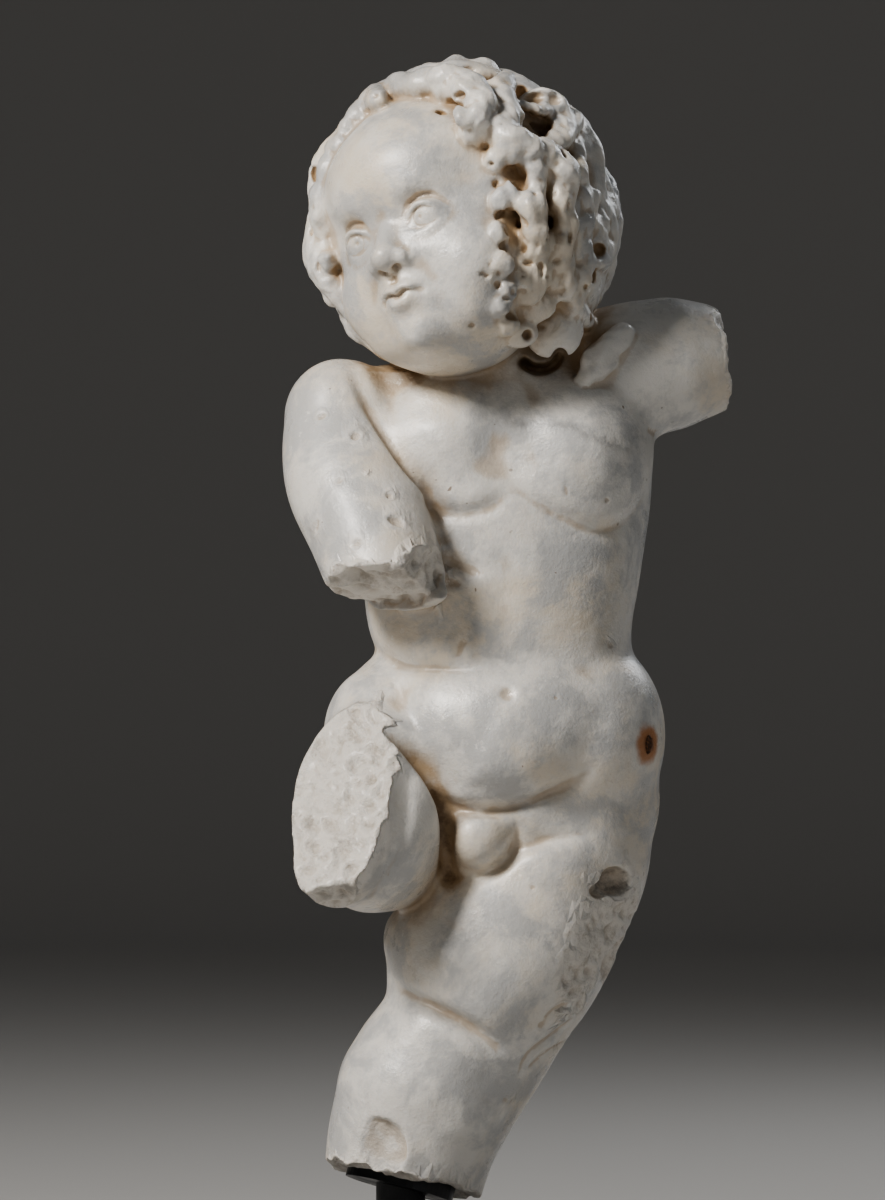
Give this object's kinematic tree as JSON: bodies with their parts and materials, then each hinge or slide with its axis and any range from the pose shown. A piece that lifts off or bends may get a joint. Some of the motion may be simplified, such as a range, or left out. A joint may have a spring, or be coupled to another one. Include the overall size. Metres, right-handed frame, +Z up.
{
  "type": "stone putto statue",
  "caption": "Marble fragment of a standing child figure with curly hair, broken at the arms and legs, held by its leg on a short steel post with a low square foot.",
  "frame": {"origin": "centre of the foot's underside", "axes": "+Z up, -Y the way the figure's chest faces, +X towards the figure's left arm"},
  "size_m": [0.2699, 0.219, 0.6783],
  "materials": {
    "marble": "aged semi-gloss white marble, rough at the breaks",
    "mount_steel": "matt black paint on steel"
  },
  "bodies": {
    "root": {"putto_figure": "marble", "display_post": "mount_steel", "display_foot": "mount_steel"}
  },
  "joints": []
}
